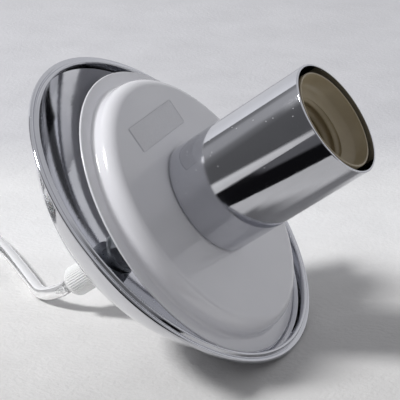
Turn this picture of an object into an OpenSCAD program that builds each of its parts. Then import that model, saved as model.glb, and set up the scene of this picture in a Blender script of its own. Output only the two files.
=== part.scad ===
// Pendant lamp core lying on a table: chromed dish, white stepped plate,
// chromed lamp tube with a screw lampholder, clear cord grip and clear flex.
// Z is up. The stem's axis lies in the XZ plane and the tube's mouth points to +X.

/* [Lying] */
// Angle of the tube's axis above the table, degrees
tube_rise = 37; // [34:1:38]
// Angle between the loose dish and the tube's axis, degrees
dish_lean = 7.5; // [6:0.5:7.5]

/* [Tube] */
// Outer diameter of the chromed tube
tube_d = 45; // [44:0.5:46]
// Length of the tube from the plate to its mouth
tube_len = 62; // [60:1:70]
// Thickness of the tube's wall
tube_wall = 0.8; // [0.6:0.1:1]

/* [Plate] */
// Outer diameter of the plate's flange
plate_d = 119.6; // [116:0.2:119.6]
// Diameter of the plate's raised middle
step_d = 107; // [100:1:108]
// Height of the raised middle over the flange's front face
step_h = 8.3; // [7:0.1:9]
// Thickness of the pressed plate
plate_t = 1.0; // [0.8:0.1:1.2]
// Length of the blank label
label_len = 40; // [30:1:44]
// Width of the blank label
label_wid = 10.5; // [8:0.5:12]

/* [Dish] */
// Radius of the sphere that the dish's outer face belongs to
dish_sphere = 85.5; // [85:0.5:88]
// Depth of the dish, from the rim's edge to the hole
dish_depth = 35; // [34:0.5:35]
// Thickness of the dish's sheet
dish_t = 0.7; // [0.6:0.1:0.8]
// Radius at the middle of the rim's outer bead
bead_at = 69.3; // [69:0.1:70]
// Radius of the rim's outer bead
bead_r = 0.9; // [0.8:0.1:1]
// Distance from the plate's top to the dish's hole, along the stem
dish_back = 48; // [48:0.5:50]

/* [Lampholder] */
// Outer diameter of the lampholder
holder_d = 39; // [38:0.5:40]
// How far the lampholder's rim stays inside the tube's mouth
holder_in = 0.8; // [0.5:0.1:2]
// Radius of the hole that takes the bulb's screw cap
cap_r = 13.3; // [13.2:0.05:13.4]
// Length of that hole's plain wall
cap_len = 12; // [10:1:12]

/* [Stem] */
// Outer diameter of the threaded stem
stem_d = 10; // [10:1:10]
// Bore of the threaded stem
stem_bore = 7; // [6.6:0.2:7.4]
// Width of the lock nuts across their flats
nut_af = 14; // [13:1:15]

/* [Cord] */
// Diameter of the clear flex
flex_d = 5.4; // [5:0.2:5.6]
// Diameter of each insulated core in it
core_d = 2.2; // [2:0.1:2.4]
// Radius at the middle of the put-away coil
coil_mid = 30; // [28:1:32]
// Distance between neighbouring turns, middle to middle
coil_pitch = 6; // [6:0.1:6.4]
// Height between the coil's two layers, middle to middle
layer_h = 5.9; // [5.9:0.1:6.2]
// Outer diameter of the cord grip
grip_d = 12.4; // [12:0.2:13]
// Number of flutes round the grip's nut
flutes = 20; // [12:1:24]

/* [Connector] */
// Distance between the two poles
pole_pitch = 8; // [8:0.5:9]
// Length of the connector along its bores
block_len = 18; // [16:1:20]
// Radius of the wire bores
wire_r = 1.5; // [1.4:0.05:1.6]

/* [Hidden] */
$fn = 96;

// Radii that follow from the driving diameters
tube_r = tube_d / 2;
stem_r = stem_d / 2;
step_r = step_d / 2;
holder_r = holder_d / 2;
flex_r = flex_d / 2;
core_r = core_d / 2;
grip_r = grip_d / 2;
dish_lie = tube_rise + dish_lean;

// The lowest point of the bead touches the table, and this is the hole's height then
bead_z = dish_depth - 0.1;
hole_h = bead_at * cos(dish_lie) - bead_z * sin(dish_lie) + bead_r;
// Where the middle of the plate's top stands, with the part centred over the origin
front_x = (tube_r - 0.3) * sin(tube_rise) + tube_len * cos(tube_rise);
back_x = -dish_back * cos(tube_rise) + bead_z * cos(dish_lie)
    - bead_at * sin(dish_lie) - bead_r;
top_x = -(front_x + back_x) / 2;
top_z = hole_h + dish_back * sin(tube_rise);

// A point on the stem's axis, s in front of the plate's top
function on_stem(s) = [top_x + s * cos(tube_rise), 0, top_z + s * sin(tube_rise)];

// Stations along the stem, measured from the plate's top
rim_s = tube_len - holder_in;
bore_top_s = rim_s - 7.6;
bore_end_s = bore_top_s - cap_len;
block_top_s = 34;
block_s = 27;
skirt_s = 22;
flange_s = -step_h;
stop_s = -dish_back + 2.5;
washer_s = -dish_back - 1.6;
washer_t = 1.2;
grip_s = washer_s - washer_t;
grip_joint_s = grip_s - 8;
nut_gap = 0.4;
nut_s = grip_joint_s - nut_gap;
nut_end_s = -72;
exit_s = -74.5;
bore_play = 0.05;

// Contact springs inside the lampholder, the eyes they turn in and their pins
leaf_t = 0.4;
leaf_w = 5;
eye_r = 1;
pin_r = 0.5;
centre_eye = [-9, 0, block_top_s + 1.5];
side_eye = [14.6, 0, block_top_s - 0.9];
// Terminals under the contact block
terminal_x = 10;
terminal_s = block_s - 6.5;

// Coil: where it lies, where it starts and how it winds; it reverses halfway
coil_at = [-160, 38];
coil_lift = 0.5;
coil_from = 60;
coil_step = 15;
turns = 4.5;
coil_rings = turns * 360 / coil_step;
coil_out = coil_mid + coil_pitch;

// Points of an arc round a centre, for outlines
function arc(cx, cy, r, from, to, n) = [for (i = [0 : n])
    let (a = from + (to - from) * i / n) [cx + r * cos(a), cy + r * sin(a)]];

// Coil as a rule: the radius shrinks by a pitch each turn and grows again after the
// middle, and the half turn round the middle climbs to the upper layer
function coil_turn(k) = k * coil_step / 360;
function coil_r(k) = coil_out - coil_pitch * (turns / 2 - abs(coil_turn(k) - turns / 2));
function coil_z(k) = let (u = 2 * coil_turn(k) - turns + 0.5)
    flex_r + coil_lift + layer_h * (u < 0 ? 0 : u > 1 ? 1 : (1 - cos(180 * u)) / 2);
function coil_point(k) = let (a = coil_from + k * coil_step)
    [coil_at[0] + coil_r(k) * cos(a), coil_at[1] + coil_r(k) * sin(a), coil_z(k)];
function coil_dir(k) = let (a = coil_from + k * coil_step) [-sin(a), cos(a), 0];
coil_start = coil_point(0) - coil_dir(0) * flex_d;
coil_end = coil_point(coil_rings) + coil_dir(coil_rings) * flex_d;
coil_route = concat([coil_start], [for (k = [0 : coil_rings]) coil_point(k)], [coil_end]);

// Route of the free flex over the table, from the grip to the coil
flex_route = concat([on_stem(exit_s), on_stem(exit_s - flex_r)], [
    [-65.0, 0.9, 6.4], [-68.8, 2.4, 4.7], [-72.9, 5.0, 3.3], [-76.7, 8.5, 2.8],
    [-80.5, 12.7, 2.7], [-85.5, 18.3, 2.7], [-92.0, 25.4, 2.7], [-99.5, 33.5, 2.8],
    [-107.0, 41.3, 2.9], [-115.0, 49.0, 3.0], [-123.5, 56.4, 3.1], [-129.5, 61.2, 3.2]
], [coil_start - coil_dir(0) * flex_r, coil_start]);

// Route of the tail, from the coil down to the table and on to the connector
tail_route = concat([coil_end, coil_end + coil_dir(coil_rings) * flex_r], [
    [-165.2, -1.1, 9.0], [-161.5, -4.8, 8.2], [-158.5, -9.1, 6.9], [-156.3, -13.8, 5.4],
    [-155.0, -18.9, 4.0], [-154.5, -24.1, 3.1], [-154.5, -27.0, 2.7], [-154.5, -30.0, 2.7]
]);
connector_at = [-154.5, -37];
sheath_end = -7;
wire_z = 5;
barrel_r = 2.4;
screw_r = 1;
screw_x = [4.5, block_len - 4.5];

// Least gap between the coil's turns, measured on its own points
function gap_list(p) = [for (i = [0 : len(p) - 1], j = [i + 12 : len(p) - 1])
    if (j < len(p)) norm(p[i] - p[j]) - flex_d];
echo(least_gap_in_coil = min(gap_list(coil_route)));
function path_len(p) = len(p) < 2 ? 0
    : [for (i = 0, s = 0; i < len(p); i = i + 1, s = s + (i < len(p) ? norm(p[i] - p[i - 1]) : 0)) s]
        [len(p) - 1];
echo(flex_length = path_len(flex_route) + path_len(coil_route) + path_len(tail_route));
echo(tube_top = on_stem(0), exit = on_stem(exit_s), hole = on_stem(-dish_back));

// A tube along a list of points: rings square to the way, closed at both ends
function unit(v) = v / norm(v);
function way(p, i) = unit(p[min(i + 1, len(p) - 1)] - p[max(i - 1, 0)]);
function ring(p, i, r, n) = let (t = way(p, i), s = unit(cross(t, [0, 0, 1])), u = cross(s, t))
    [for (k = [0 : n - 1]) p[i] + r * (s * sin(360 * k / n) + u * cos(360 * k / n))];
module tube_along(p, r, n) {
    points = [for (i = [0 : len(p) - 1]) each ring(p, i, r, n)];
    last = (len(p) - 1) * n;
    sides = [for (i = [0 : len(p) - 2], k = [0 : n - 1])
        let (a = i * n + k, b = i * n + (k + 1) % n) each [[a, b, b + n], [a, b + n, a + n]]];
    ends = [[for (k = [n - 1 : -1 : 0]) k], [for (k = [0 : n - 1]) last + k]];
    polyhedron(points, concat(sides, ends));
}

// Stands what is drawn along the stem, with the plate's top at 0, in its lying place
module lying() {
    translate([top_x, 0, top_z]) rotate([0, 90 - tube_rise, 0]) children();
}
// The same for the dish, drawn from its hole with its rim upwards
module dish_lying() {
    lying() translate([0, 0, -dish_back]) rotate([0, -dish_lean, 0]) children();
}
// A ring or disc from station s, t long towards the mouth
module ring_at(s, t, r, bore) {
    translate([0, 0, s]) difference() {
        cylinder(h = t, r = r);
        translate([0, 0, -1]) cylinder(h = t + 2, r = bore);
    }
}
module hex_nut(s, t) {
    translate([0, 0, s]) difference() {
        intersection() {
            cylinder(h = t, d = nut_af / cos(30), $fn = 6);
            translate([0, 0, t / 2]) sphere(r = nut_af / 2 + 0.9);
        }
        translate([0, 0, -1]) cylinder(h = t + 2, r = stem_r);
    }
}

// One outline: the bowl's outer face, the rolled bead, the lip's crest, the inner face
module dish() {
    hole_r = stem_r + 0.4;
    rim_in = bead_at - 2.9;
    inner = dish_sphere - dish_t;
    color("silver") dish_lying() rotate_extrude() polygon(concat(
        arc(0, dish_sphere, dish_sphere, -acos(hole_r / dish_sphere),
            -acos((rim_in + 1.2) / dish_sphere), 48),
        arc(bead_at, bead_z, bead_r, -110, 70, 10),
        arc(rim_in + 0.6, bead_z + 1, 0.6, 70, 180, 5),
        arc(0, dish_sphere, inner, -acos(rim_in / inner), -acos(hole_r / inner), 48)));
}

module plate() {
    plate_r = plate_d / 2;
    edge_r = 5;
    foot_r = 1.5;
    half_t = plate_t / 2;
    color("white") lying() rotate_extrude() polygon(concat(
        [[stem_r + 0.2, 0]],
        arc(step_r - edge_r, -edge_r, edge_r, 90, 0, 6),
        arc(step_r + foot_r, flange_s + foot_r, foot_r, 180, 270, 4),
        arc(plate_r - half_t, flange_s - half_t, half_t, 90, -90, 8),
        arc(step_r + foot_r, flange_s + foot_r, foot_r + plate_t, 270, 180, 4),
        arc(step_r - edge_r, -edge_r, edge_r - plate_t, 0, 90, 6),
        [[stem_r + 0.2, -plate_t]]));
}

module blank_label() {
    label_at = [-33.5, -1];
    color("gainsboro") lying() translate([label_at[0], label_at[1], 0.06])
        cube([label_wid, label_len, 0.12], center = true);
}

module lamp_tube() {
    color("silver") lying() rotate_extrude() polygon(concat(
        [[stem_r + 0.2, 0], [tube_r - 1.2, 0]],
        arc(tube_r - 1.2, 1.2, 1.2, 270, 360, 4),
        [[tube_r, tube_len - 0.3], [tube_r - 0.3, tube_len], [tube_r - tube_wall, tube_len]],
        [[tube_r - tube_wall, 1.4], [tube_r - 1.4, 1], [stem_r + 0.2, 1]]));
}

module holder_skirt() {
    throat = holder_r - 0.8;
    cavity = 16.6;
    seat = 17.2;
    socket = 18.25;
    color("wheat") lying() rotate_extrude() polygon([
        [cavity, block_top_s], [seat, block_top_s], [seat, block_s], [socket, block_s],
        [socket, skirt_s], [holder_r, skirt_s], [holder_r, rim_s - 0.3], [holder_r - 0.3, rim_s],
        [throat + 0.1, rim_s], [throat, rim_s - 0.3], [throat - 0.7, rim_s - 4.6],
        [throat - 1.6, rim_s - 5.8], [cap_r + 1, bore_top_s + 0.5], [cap_r, bore_top_s],
        [cap_r, bore_end_s], [cavity, bore_end_s - 1.2]]);
}

module holder_cap() {
    color("wheat") lying() difference() {
        rotate_extrude() polygon(concat(
            [[stem_r, 1], [8.5, 1], [8.5, 5]],
            arc(10.5, 14, 9, 275, 360, 6),
            [[holder_r, skirt_s - 0.05], [18.2, skirt_s - 0.05], [18.2, block_s - 0.05],
            [16.4, block_s - 0.05], [16.4, 15]],
            arc(9.4, 15, 7, 0, -80, 5), [[stem_r, 8.2]]));
        translate([0, 0, 3.5]) rotate([90, 0, 0]) cylinder(h = 12, r = 1.4);
    }
}

module cap_grub_screw() {
    color("silver") lying() translate([0, 0, 3.5]) rotate([90, 0, 0])
        translate([0, 0, stem_r]) difference() {
            cylinder(h = 4, r = 1.4);
            translate([-0.3, -2, 3]) cube([0.6, 4, 2]);
        }
}

module contact_block() {
    block_r = 17;
    play = 0.1;
    ear_t = 1.2;
    color("whitesmoke") lying() difference() {
        union() {
            translate([0, 0, block_s]) cylinder(h = block_top_s - block_s, r = block_r);
            for (y = [-leaf_w / 2 - 0.3 - ear_t, leaf_w / 2 + 0.3])
                translate([centre_eye[0] - 1.3, y, block_top_s - 1]) cube([2.6, ear_t, 3.8]);
        }
        translate([0, 0, block_s - 1]) cylinder(h = block_top_s - block_s + 2, r = 1.6);
        for (x = [-terminal_x, terminal_x])
            translate([x - 3 - play, -4 - play, block_s - 1]) cube([6.2, 8.2, 4]);
        translate([side_eye[0] - 1.6, -leaf_w / 2 - 0.3, side_eye[2] - 1.4])
            cube([3.2, leaf_w + 0.6, 4]);
        pins();
    }
}

// A springy tongue: an eye round its pin, a flat run and a raised tip over the middle
module eye(at) {
    translate([at[0], -leaf_w / 2, at[2]]) rotate([-90, 0, 0]) cylinder(h = leaf_w, r = eye_r);
}
module eye_bore(at) {
    translate([at[0], -leaf_w, at[2]]) rotate([-90, 0, 0]) cylinder(h = 2 * leaf_w, r = pin_r + 0.1);
}
module centre_contact() {
    tip_r = 2.2;
    color("gold") lying() difference() {
        union() {
            eye(centre_eye);
            translate([centre_eye[0], -leaf_w / 2, centre_eye[2] + eye_r - leaf_t])
                cube([tip_r - centre_eye[0], leaf_w, leaf_t]);
            translate([0, 0, centre_eye[2] + eye_r - leaf_t]) cylinder(h = 1.2, r = tip_r);
        }
        eye_bore(centre_eye);
    }
}
module side_contact() {
    leaf_h = 6.2;
    color("gold") lying() difference() {
        union() {
            eye(side_eye);
            translate([side_eye[0] - eye_r, -leaf_w / 2, side_eye[2]]) cube([leaf_t, leaf_w, leaf_h]);
            translate([side_eye[0] - eye_r - 1.1, -leaf_w / 2, side_eye[2] + leaf_h - 1.4])
                cube([1.2, leaf_w, 1.2]);
        }
        eye_bore(side_eye);
    }
}
module pins() {
    half = leaf_w / 2 + 1.3;
    for (at = [centre_eye, side_eye])
        translate([at[0], -half, at[2]]) rotate([-90, 0, 0]) cylinder(h = 2 * half, r = pin_r);
}
module contact_pins() {
    color("silver") lying() pins();
}

// Brass block with a hole for its core from below and a screw from the side
module terminal(x) {
    lying() translate([x, 0, terminal_s]) difference() {
        translate([-3, -4, 0]) cube([6, 8, 9.5]);
        translate([0, 0, -1]) cylinder(h = 6, r = 1.3);
        translate([0, 0, 2.8]) rotate([-90, 0, 0]) cylinder(h = 5, r = 1.2);
    }
}
module live_terminal() {
    color("gold") terminal(-terminal_x);
}
module neutral_terminal() {
    color("gold") terminal(terminal_x);
}
module terminal_screws() {
    tip_y = 1.3;
    color("silver") lying() for (x = [-terminal_x, terminal_x])
        translate([x, 0, terminal_s + 2.8]) rotate([-90, 0, 0]) {
            translate([0, 0, tip_y]) cylinder(h = 4 - tip_y, r = 1.2);
            difference() {
                translate([0, 0, 4]) cylinder(h = 1.6, r = 2.4);
                translate([-3, -0.3, 5]) cube([6, 0.6, 2]);
            }
        }
}

module stem() {
    color("silver") lying() ring_at(grip_joint_s + 1, 8.2 - grip_joint_s - 1, stem_r, stem_bore / 2);
}

module tooth_washer() {
    teeth = 12;
    color("silver") lying() difference() {
        ring_at(-plate_t - 0.8, 0.8, 8.6, stem_r + 0.1);
        for (i = [0 : teeth - 1]) rotate(360 * i / teeth)
            translate([7.3, -0.7, -plate_t - 2]) cube([2, 1.4, 3]);
    }
}
module plate_nut() {
    color("silver") lying() hex_nut(-plate_t - 0.8 - 3.5, 3.5);
}
module dish_stop_nut() {
    color("silver") lying() hex_nut(stop_s + 1, 3.5);
}
module dish_stop_washer() {
    color("silver") lying() ring_at(stop_s, 1, 8, stem_r + 0.1);
}
module dish_washer() {
    color("whitesmoke") lying() ring_at(washer_s - washer_t + bore_play, washer_t - bore_play,
        8, stem_r + bore_play);
}

module fluted(r, n) {
    for (i = [0 : n - 1]) rotate(360 * i / n) translate([r + 0.25, 0, 0]) children();
}

module grip_body() {
    neck_r = 4.6;
    color("lightcyan") lying() difference() {
        union() {
            ring_at(grip_joint_s, grip_s - grip_joint_s, grip_r + 0.4, flex_r + 0.2);
            ring_at(grip_joint_s - 6, 6, neck_r, flex_r + 0.2);
        }
        translate([0, 0, grip_joint_s + 1]) cylinder(h = 20, r = stem_r);
        translate([0, 0, grip_joint_s - 7]) cylinder(h = 4, r = 3.7);
        fluted(grip_r + 0.4, flutes) translate([0, 0, grip_joint_s - 1]) cylinder(h = 8, r = 0.6);
    }
}

module grip_collet() {
    slots = 4;
    color("lightcyan") lying() difference() {
        rotate_extrude() polygon([[flex_r, nut_end_s + 4.6], [flex_r + 0.5, nut_end_s + 4],
            [3.6, nut_end_s + 5.2], [3.6, grip_joint_s - 3.1], [flex_r, grip_joint_s - 3.1]]);
        for (i = [0 : slots - 1]) rotate(360 * i / slots)
            translate([0, -0.3, nut_end_s + 3]) cube([5, 0.6, 4.5]);
    }
}

module grip_ring() {
    color("whitesmoke") lying() ring_at(nut_end_s + 2.6, 1, 4.4, flex_r + 0.3);
}

module grip_nut() {
    wall_in = 4.65;
    color("lightcyan") lying() difference() {
        rotate_extrude() polygon(concat(
            [[wall_in, nut_s], [grip_r, nut_s], [grip_r, nut_end_s + 3]],
            arc(grip_r - 3, nut_end_s + 3, 3, 0, -90, 5),
            [[flex_r + 0.3, nut_end_s], [flex_r + 0.3, nut_end_s + 2.5], [wall_in, nut_end_s + 2.5]]));
        fluted(grip_r, flutes) translate([0, 0, nut_end_s + 1.6]) cylinder(h = 20, r = 0.6);
    }
}

module inner_flex() {
    color("ghostwhite") lying() translate([0, 0, exit_s]) cylinder(h = 10 - exit_s, r = flex_r);
}

// One insulated core, from the end of the sheath to a point below its terminal
module core_to(side) {
    route = [[side * 1.2, 0, 10], [side * 1.2, 0, 11], [side * 2, 0, 12.8], [side * 3.8, 0, 14.6],
        [side * 6.4, 0, 16], [side * 8.6, 0, 17.4], [side * 9.8, 0, 19], [side * 10, 0, 20.3],
        [side * 10, 0, 23]];
    lying() core_along(route);
}
// Rings for a core are squared with Y, because it rises along its own Z
module core_along(p) {
    n = 8;
    points = [for (i = [0 : len(p) - 1]) let (t = way(p, i), u = cross(t, [0, 1, 0]))
        each [for (k = [0 : n - 1]) p[i] + core_r * ([0, 1, 0] * sin(360 * k / n)
            + unit(u) * cos(360 * k / n))]];
    last = (len(p) - 1) * n;
    sides = [for (i = [0 : len(p) - 2], k = [0 : n - 1])
        let (a = i * n + k, b = i * n + (k + 1) % n) each [[a, b + n, b], [a, a + n, b + n]]];
    ends = [[for (k = [0 : n - 1]) k], [for (k = [n - 1 : -1 : 0]) last + k]];
    polyhedron(points, concat(sides, ends));
}
module live_core() {
    color("sienna") core_to(-1);
}
module neutral_core() {
    color("royalblue") core_to(1);
}

module flex() {
    color("ghostwhite") tube_along(flex_route, flex_r, 12);
}
module flex_coil() {
    color("ghostwhite") tube_along(coil_route, flex_r, 6);
}
module flex_tail() {
    color("ghostwhite") tube_along(tail_route, flex_r, 12);
}

// Two straps round the coil's turns, each as long as the turns inside it need
function radii_at(a) = [for (n = [0 : 5]) let (k = (a - coil_from + 360 * n) / coil_step)
    if (k > 0 && k < coil_rings) coil_r(k)];
module coil_ties() {
    strap_t = 0.45;
    strap_w = 3;
    play = 0.3;
    height = coil_lift + layer_h + flex_d + play;
    color("white") translate([coil_at[0], coil_at[1], 0]) for (a = [150, 330])
        let (inside = min(radii_at(a)) - flex_r - play, outside = max(radii_at(a)) + flex_r + play)
            rotate(a) translate([inside, -strap_w / 2, 0]) difference() {
                translate([-strap_t, 0, 0])
                    cube([outside - inside + 2 * strap_t, strap_w, height + strap_t]);
                translate([0, -1, strap_t]) cube([outside - inside, strap_w + 2, height - strap_t]);
            }
}

// The connector is drawn along X and lies turned, with the supply's end towards -Y
module connector_lying() {
    translate([connector_at[0], connector_at[1], 0]) rotate(-90) children();
}
// Place of a pole: side -1 is the live pole
module at_pole(side) {
    connector_lying() translate([0, -side * pole_pitch / 2, 0]) children();
}
module tail_core(side) {
    end_y = -side * pole_pitch / 2;
    connector_lying() tube_along([[sheath_end, -side * 1.2, flex_r],
        [sheath_end + 1, -side * 1.2, flex_r], [sheath_end + 3, -side * 2.2, 3.3],
        [sheath_end + 5, -side * 3.4, 4.4], [0, end_y, wire_z], [7, end_y, wire_z]], core_r, 8);
}
module live_tail_core() {
    color("sienna") tail_core(-1);
}
module neutral_tail_core() {
    color("royalblue") tail_core(1);
}

module connector_body() {
    tower_h = 12;
    base_h = 9;
    base_w = pole_pitch * 2;
    color("whitesmoke") difference() {
        union() {
            connector_lying() translate([0, -base_w / 2, 0]) cube([block_len, base_w, base_h]);
            for (side = [-1, 1], x = screw_x)
                at_pole(side) translate([x, 0, 0]) cylinder(h = tower_h, r = 3.4);
        }
        for (side = [-1, 1]) at_pole(side) {
            translate([-1, 0, wire_z]) rotate([0, 90, 0]) cylinder(h = block_len + 2, r = barrel_r);
            for (x = screw_x) translate([x, 0, wire_z]) cylinder(h = 20, r = 1.9);
        }
        connector_lying() translate([block_len / 2, 0, -1]) cylinder(h = 20, r = 1.6);
    }
}

// Each barrel has a web halfway, so that a core enters a blind hole from either end
module connector_barrels() {
    color("gold") for (side = [-1, 1]) at_pole(side) difference() {
        translate([2, 0, wire_z]) rotate([0, 90, 0]) cylinder(h = block_len - 4, r = barrel_r);
        for (x = [0, block_len / 2 + 0.5])
            translate([x, 0, wire_z]) rotate([0, 90, 0]) cylinder(h = block_len / 2 - 0.5, r = wire_r);
        for (x = screw_x) translate([x, 0, wire_z]) cylinder(h = 5, r = screw_r);
    }
}

// The screws over the cord's cores are driven home, and the supply's stand open
module connector_screws() {
    head_r = 1.7;
    tip_z = [wire_z + core_r + 0.1, wire_z + wire_r + 0.1];
    color("silver") for (side = [-1, 1], i = [0, 1]) at_pole(side)
        translate([screw_x[i], 0, tip_z[i]]) difference() {
            union() {
                cylinder(h = 4, r = screw_r);
                translate([0, 0, 2.2]) cylinder(h = 1.8, r = head_r);
            }
            translate([-3, -0.25, 3.2]) cube([6, 0.5, 2]);
        }
}

dish();
plate();
blank_label();
lamp_tube();
holder_skirt();
holder_cap();
contact_block();
centre_contact();
side_contact();
contact_pins();
live_terminal();
neutral_terminal();
terminal_screws();
cap_grub_screw();
stem();
tooth_washer();
plate_nut();
dish_stop_nut();
dish_stop_washer();
dish_washer();
grip_body();
grip_collet();
grip_ring();
grip_nut();
inner_flex();
live_core();
neutral_core();
flex();
flex_coil();
flex_tail();
coil_ties();
live_tail_core();
neutral_tail_core();
connector_body();
connector_barrels();
connector_screws();
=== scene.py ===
import math

import bpy
import numpy as np
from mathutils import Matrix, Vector


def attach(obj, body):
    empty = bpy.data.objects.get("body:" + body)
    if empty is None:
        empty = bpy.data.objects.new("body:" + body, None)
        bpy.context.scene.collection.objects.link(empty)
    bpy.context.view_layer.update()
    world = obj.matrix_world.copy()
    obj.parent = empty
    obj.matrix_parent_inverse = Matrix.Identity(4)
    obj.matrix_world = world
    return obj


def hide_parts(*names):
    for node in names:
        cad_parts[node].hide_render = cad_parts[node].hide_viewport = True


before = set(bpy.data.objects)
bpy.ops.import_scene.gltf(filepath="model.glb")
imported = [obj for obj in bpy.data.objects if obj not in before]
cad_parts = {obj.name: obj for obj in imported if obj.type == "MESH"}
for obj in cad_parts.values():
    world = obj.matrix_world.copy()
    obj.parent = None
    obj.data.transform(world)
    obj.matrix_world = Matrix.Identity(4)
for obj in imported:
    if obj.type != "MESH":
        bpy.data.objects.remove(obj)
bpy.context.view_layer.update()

mm = 0.001

# the lying pose, as the frame has it: the stem rises, the dish leans against it
pose = {"rise": 37.0, "lean": 7.5, "topX": 0.0196903, "topZ": 54.7536, "dishBack": 48.0}
sinRise, cosRise = math.sin(math.radians(pose["rise"])), math.cos(math.radians(pose["rise"]))
sinLean, cosLean = math.sin(math.radians(pose["lean"])), math.cos(math.radians(pose["lean"]))


# world metres from stem millimetres: x' = topX + x sin(rise) + s cos(rise),
# z' = topZ - x cos(rise) + s sin(rise)
def onStem(points):
    p = np.asarray(points, float)
    x = pose["topX"] + p[..., 0] * sinRise + p[..., 2] * cosRise
    z = pose["topZ"] - p[..., 0] * cosRise + p[..., 2] * sinRise
    return np.stack([x, p[..., 1], z], -1) * mm


# world metres from dish millimetres: turned by the lean about y, then set on the stem at the dish's hole:
# x' = x cos(lean) - s sin(lean), s' = x sin(lean) + s cos(lean) - dishBack
def onDish(points):
    p = np.asarray(points, float)
    x = p[..., 0] * cosLean - p[..., 2] * sinLean
    s = p[..., 0] * sinLean + p[..., 2] * cosLean - pose["dishBack"]
    return onStem(np.stack([x, p[..., 1], s], -1))


# world metres from world millimetres
def onTable(points):
    return np.asarray(points, float) * mm


# meshes from grids
# a surface over an array of points [u, v]; closeU and closeV join its edges, and caps close the first and
# last u row. The map's place is uv(row, column)
def gridMesh(name, grid, closeU=False, closeV=False, caps=False, uv=None):
    nu, nv = grid.shape[:2]
    iu = np.arange(nu if closeU else nu - 1)
    iv = np.arange(nv if closeV else nv - 1)
    a, b = np.meshgrid(iu, iv, indexing="ij")
    a2, b2 = (a + 1) % nu, (b + 1) % nv
    quads = np.stack([a * nv + b, a2 * nv + b, a2 * nv + b2, a * nv + b2], -1).reshape(-1, 4)
    faces = quads.tolist()
    if caps:
        faces.append(list(range(nv)))
        faces.append([(nu - 1) * nv + k for k in range(nv)][::-1])
    mesh = bpy.data.meshes.new(name)
    mesh.from_pydata(grid.reshape(-1, 3).tolist(), [], faces)
    if uv is not None:
        layer = mesh.uv_layers.new(name="UVMap")
        corner = np.stack([uv(a, b), uv(a + 1, b), uv(a + 1, b + 1), uv(a, b + 1)], -2).reshape(-1, 2)
        full = np.zeros((len(mesh.loops), 2))
        full[: len(corner)] = corner
        layer.data.foreach_set("uv", full.ravel())
    mesh.update()
    return mesh


# a smooth-shaded object at the origin that rides on a body; edges over sharp degrees stay sharp, 0 for none
def addPiece(name, mesh, body, material, replaced=(), sharp=35):
    mesh.shade_smooth()
    if sharp:
        mesh.set_sharp_from_angle(angle=math.radians(sharp))
    piece = bpy.data.objects.new(name, mesh)
    bpy.context.scene.collection.objects.link(piece)
    piece.data.materials.append(material)
    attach(piece, body)
    if replaced:
        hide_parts(*replaced)
    return piece


# points of a circle round (cx, cy), by angles in degrees: cx + r cos(t), cy + r sin(t)
def arcPoints(cx, cy, r, start, end, count):
    t = np.radians(np.linspace(start, end, count))
    return np.stack([cx + r * np.cos(t), cy + r * np.sin(t)], -1)


# one outline of (r, s) points out of several stretches, the last one joined to the first
def closedProfile(*parts):
    return np.concatenate([np.atleast_2d(np.asarray(p, float)) for p in parts])


# running length of the line through the points, each step's length raised to a power first
def runAlong(points, power=1.0):
    return np.concatenate([[0], np.cumsum(np.linalg.norm(np.diff(points, axis=0), axis=1) ** power)])


# turns (r, s) points round the axis: x = r cos(t), y = r sin(t), s = s. The profile runs anticlockwise in
# (r, s). The map's u is the share of a turn, its v the length along the profile in units of 100 mm
def lathe(name, profile, place, sides):
    t = np.linspace(0, 2 * math.pi, sides, endpoint=False)
    r, s = profile[:, 0], profile[:, 1]
    grid = np.stack([np.outer(np.cos(t), r), np.outer(np.sin(t), r), np.tile(s, (sides, 1))], -1)
    span = runAlong(np.concatenate([profile, profile[:1]]))
    uv = lambda a, b: np.stack([a / sides, span[b] * 0.01], -1)
    return gridMesh(name, place(grid), closeU=True, closeV=True, uv=uv)


# materials
# sRGB hex to linear colour: c / 12.92 up to 0.04045, ((c + 0.055) / 1.055)^2.4 over it
def linear(code):
    c = np.array([int(code[i : i + 2], 16) for i in (1, 3, 5)]) / 255
    c = np.where(c <= 0.04045, c / 12.92, ((c + 0.055) / 1.055) ** 2.4)
    return (*c.tolist(), 1.0)


# adds a node; each input is a value or the socket that feeds it
def addNode(tree, kind, inputs=None, **settings):
    node = tree.nodes.new(kind)
    for key, value in settings.items():
        setattr(node, key, value)
    for key, value in (inputs or {}).items():
        if isinstance(value, bpy.types.NodeSocket):
            tree.links.new(value, node.inputs[key])
        else:
            node.inputs[key].default_value = value
    return node


# one step of arithmetic, its values in the operation's own order
def addMath(tree, operation, *values):
    return addNode(tree, "ShaderNodeMath", dict(enumerate(values)), operation=operation).outputs["Value"]


# the product of values from 0 to 1: where all of them hold
def allOf(tree, first, *others):
    for other in others:
        first = addMath(tree, "MULTIPLY", first, other)
    return first


# noise over a place: scale is waves per metre, or per unit of a piece's map
def addNoise(tree, place, scale, detail, roughness=0.5, distortion=0.0):
    return addNode(tree, "ShaderNodeTexNoise", {
        "Vector": place, "Scale": scale, "Detail": detail, "Roughness": roughness,
        "Distortion": distortion}).outputs["Fac"]


# a value carried from one (low, high) pair to another, held at the ends
def addRange(tree, value, source, target=(0.0, 1.0), **settings):
    return addNode(tree, "ShaderNodeMapRange", {
        "Value": value, "From Min": source[0], "From Max": source[1],
        "To Min": target[0], "To Max": target[1]}, **settings).outputs["Result"]


# a colour ramp; stops are (place, colour) pairs, each colour a hex code or already linear
def addRamp(tree, factor, stops):
    node = addNode(tree, "ShaderNodeValToRGB", {"Fac": factor})
    elements = node.color_ramp.elements
    while len(elements) < len(stops):
        elements.new(0.5)
    for element, (place, colour) in zip(elements, stops):
        element.position = place
        element.color = linear(colour) if isinstance(colour, str) else colour
    return node.outputs["Color"]


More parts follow.
